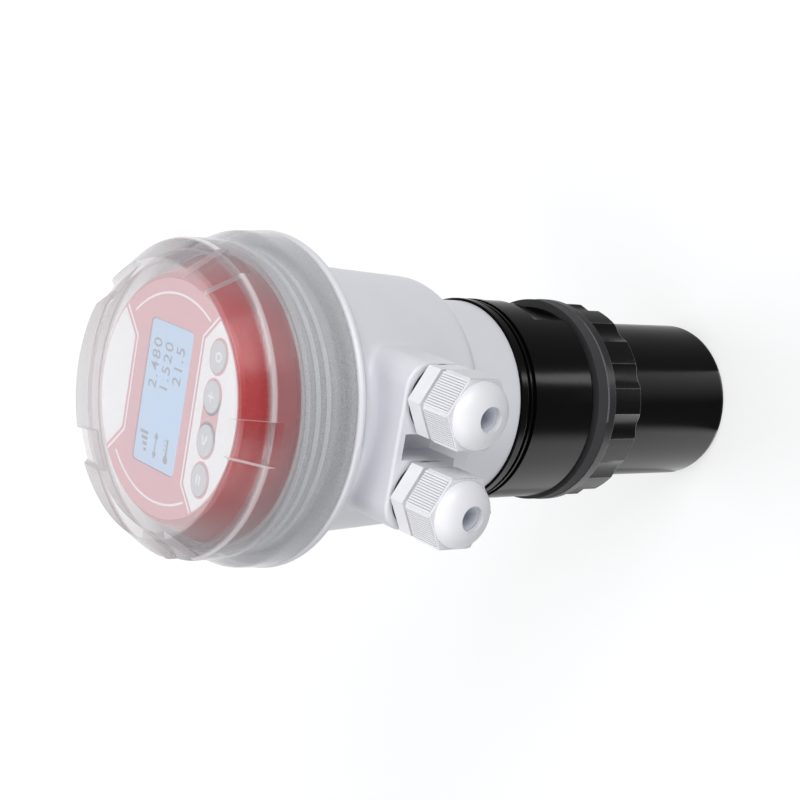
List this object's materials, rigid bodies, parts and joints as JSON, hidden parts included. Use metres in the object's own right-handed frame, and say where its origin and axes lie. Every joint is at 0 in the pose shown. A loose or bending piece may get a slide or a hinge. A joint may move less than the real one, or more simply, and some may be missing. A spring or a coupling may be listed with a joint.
{
  "type": "liquid level transmitter",
  "caption": "Ultrasonic liquid level transmitter with a white head, clear screw lid over a display, side cable glands and a black sensor tube with collar, gasket and lock nut.",
  "frame": {"origin": "Centre of the sensing face at the free end of the sensor tube.", "axes": "+Z runs along the sensor axis from the sensing face to the display, +X is the reading direction of the display text, and the cable glands leave the head along -Y."},
  "size_m": [0.1092, 0.138, 0.2413],
  "materials": {
    "black_polymer": "gloss",
    "black_nylon": "satin",
    "gasket_rubber": "matte",
    "seal_rubber": "matte",
    "white_housing": "satin",
    "clear_polycarbonate": "clear, slightly hazy",
    "red_cup": "gloss",
    "label_film": "satin",
    "display_glass": "gloss",
    "key_grey": "satin",
    "gland_nylon": "satin",
    "grommet_rubber": "matte",
    "circuit_board": "satin",
    "terminal_green": "satin",
    "ribbon_grey": "satin",
    "zinc_steel": "satin",
    "potting": "matte",
    "piezo_ceramic": "matte"
  },
  "bodies": {
    "head": {"backing_damper": "potting", "board_headers": "black_nylon", "display_board": "circuit_board", "display_cup": "red_cup", "display_screws": "zinc_steel", "display_window": "display_glass", "face_label": "label_film", "gland_body_left": "gland_nylon", "gland_body_right": "gland_nylon", "gland_washer_left": "seal_rubber", "gland_washer_right": "seal_rubber", "housing": "white_housing", "key_switches": "black_nylon", "lead_connector": "gland_nylon", "main_board": "circuit_board", "main_board_screws": "zinc_steel", "matching_layer": "potting", "neck_lock_ring": "black_nylon", "neck_seal": "seal_rubber", "piezo_disc": "piezo_ceramic", "potting_resin": "potting", "pulse_transformer": "black_nylon", "ribbon_cable": "ribbon_grey", "sensor_body": "black_polymer", "sensor_lead": "seal_rubber", "temperature_probe": "zinc_steel", "terminal_block": "terminal_green", "terminal_screws": "zinc_steel", "transducer_isolator": "seal_rubber"},
    "lid_carrier": {"lid_seal": "seal_rubber"},
    "lid": {"front_lid": "clear_polycarbonate"},
    "gasket": {"mounting_gasket": "gasket_rubber"},
    "nut": {"lock_nut": "black_nylon"},
    "grommet_left": {"gland_grommet_left": "grommet_rubber"},
    "cap_left": {"gland_cap_left": "gland_nylon"},
    "grommet_right": {"gland_grommet_right": "grommet_rubber"},
    "cap_right": {"gland_cap_right": "gland_nylon"},
    "key_one": {"key_1": "key_grey"},
    "key_two": {"key_2": "key_grey"},
    "key_three": {"key_3": "key_grey"},
    "key_four": {"key_4": "key_grey"}
  },
  "joints": [
    {"name": "lid_lift", "type": "slide", "parent": "head", "child": "lid_carrier", "axis": [0, 0, 1], "range_m": [0, 0.014]},
    {"name": "lid_turn", "type": "hinge", "parent": "lid_carrier", "child": "lid", "pos_m": [0, 0, 0.2185], "axis": [0, 0, 1], "range_deg": [0, 1260]},
    {"name": "nut_drop", "type": "slide", "parent": "head", "child": "gasket", "axis": [0, 0, -1], "range_m": [0, 0.012]},
    {"name": "nut_turn", "type": "hinge", "parent": "gasket", "child": "nut", "pos_m": [0, 0, 0.064], "axis": [0, 0, -1], "range_deg": [0, 2160]},
    {"name": "grommet_left_slide", "type": "slide", "parent": "head", "child": "grommet_left", "axis": [0, -1, 0], "range_m": [0, 0.00565]},
    {"name": "cap_left_turn", "type": "hinge", "parent": "grommet_left", "child": "cap_left", "pos_m": [-0.0156, -0.07193, 0.176], "axis": [0, -1, 0], "range_deg": [0, 1440]},
    {"name": "grommet_right_slide", "type": "slide", "parent": "head", "child": "grommet_right", "axis": [0, -1, 0], "range_m": [0, 0.00565]},
    {"name": "cap_right_turn", "type": "hinge", "parent": "grommet_right", "child": "cap_right", "pos_m": [0.0156, -0.07193, 0.176], "axis": [0, -1, 0], "range_deg": [0, 1440]},
    {"name": "key_one_press", "type": "slide", "parent": "head", "child": "key_one", "axis": [0, 0, -1], "range_m": [0, 0.0006], "stiffness_N_per_m": 400},
    {"name": "key_two_press", "type": "slide", "parent": "head", "child": "key_two", "axis": [0, 0, -1], "range_m": [0, 0.0006], "stiffness_N_per_m": 400},
    {"name": "key_three_press", "type": "slide", "parent": "head", "child": "key_three", "axis": [0, 0, -1], "range_m": [0, 0.0006], "stiffness_N_per_m": 400},
    {"name": "key_four_press", "type": "slide", "parent": "head", "child": "key_four", "axis": [0, 0, -1], "range_m": [0, 0.0006], "stiffness_N_per_m": 400}
  ],
  "couplings": [
    {"joint": "lid_lift", "follows": "lid_turn", "m_per_rad": 0.00063662},
    {"joint": "nut_drop", "follows": "nut_turn", "m_per_rad": 0.00031831},
    {"joint": "grommet_left_slide", "follows": "cap_left_turn", "m_per_rad": 0.00022457},
    {"joint": "grommet_right_slide", "follows": "cap_right_turn", "m_per_rad": 0.00022457}
  ]
}
